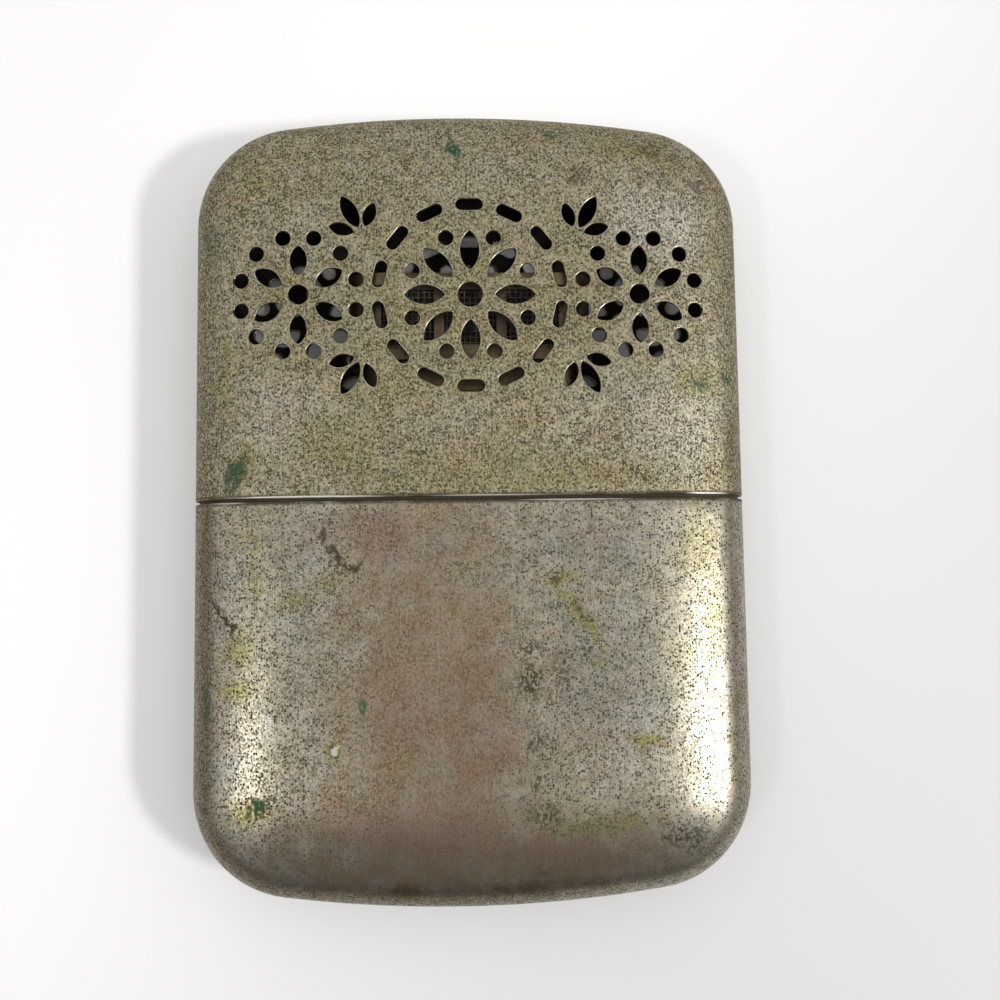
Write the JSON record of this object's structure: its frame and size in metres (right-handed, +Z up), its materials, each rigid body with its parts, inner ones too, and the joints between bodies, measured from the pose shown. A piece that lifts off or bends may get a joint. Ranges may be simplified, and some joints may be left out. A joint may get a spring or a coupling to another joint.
{
  "type": "catalytic hand warmer",
  "caption": "Flat pocket catalytic hand warmer: a vented metal cap slides off a cotton-packed fuel tank, whose oblong neck carries a push-on catalytic burner.",
  "frame": {"origin": "under the middle of the closed warmer, on the surface that its back lies on", "axes": "+Y from the tank towards the cap's vented end, +X across the width, +Z up through the vented front face"},
  "size_m": [0.068, 0.098, 0.014],
  "materials": {
    "cap_nickel": "worn nickel plate on brass, satin and finely pitted",
    "tank_nickel": "worn nickel plate on brass, half polished and tarnished",
    "collar_metal": "heat-tarnished nickel plate",
    "solder": "dull soft solder",
    "neck_brass": "bare, darkened brass",
    "felt": "dense wool felt",
    "cotton": "packed cotton wadding",
    "burner_metal": "heat-browned plated brass",
    "rivet_metal": "dull plated brass",
    "gauze_wire": "sooty woven wire",
    "catalyst_fibre": "black catalyst-coated glass fibre"
  },
  "bodies": {
    "tank": {"tank_shell": "tank_nickel", "tank_collar": "collar_metal", "collar_solder": "solder", "neck_tube": "neck_brass", "neck_solder": "solder", "neck_retainer": "neck_brass", "wick_felt": "felt", "cotton_wad_left": "cotton", "cotton_wad_middle": "cotton", "cotton_wad_right": "cotton"},
    "cap": {"cap_shell": "cap_nickel"},
    "burner": {"burner_skirt": "burner_metal", "burner_plate": "burner_metal", "burner_cage": "burner_metal", "burner_crown": "burner_metal", "burner_rivets": "rivet_metal", "burner_gauze_front": "gauze_wire", "burner_gauze_rear": "gauze_wire", "mat_carrier": "burner_metal", "catalyst_mat": "catalyst_fibre"}
  },
  "joints": [
    {"name": "cap_slide", "type": "slide", "parent": "tank", "child": "cap", "axis": [0, 1, 0], "range_m": [0, 0.05]},
    {"name": "burner_slide", "type": "slide", "parent": "tank", "child": "burner", "axis": [0, 1, 0], "range_m": [0, 0.012]}
  ]
}
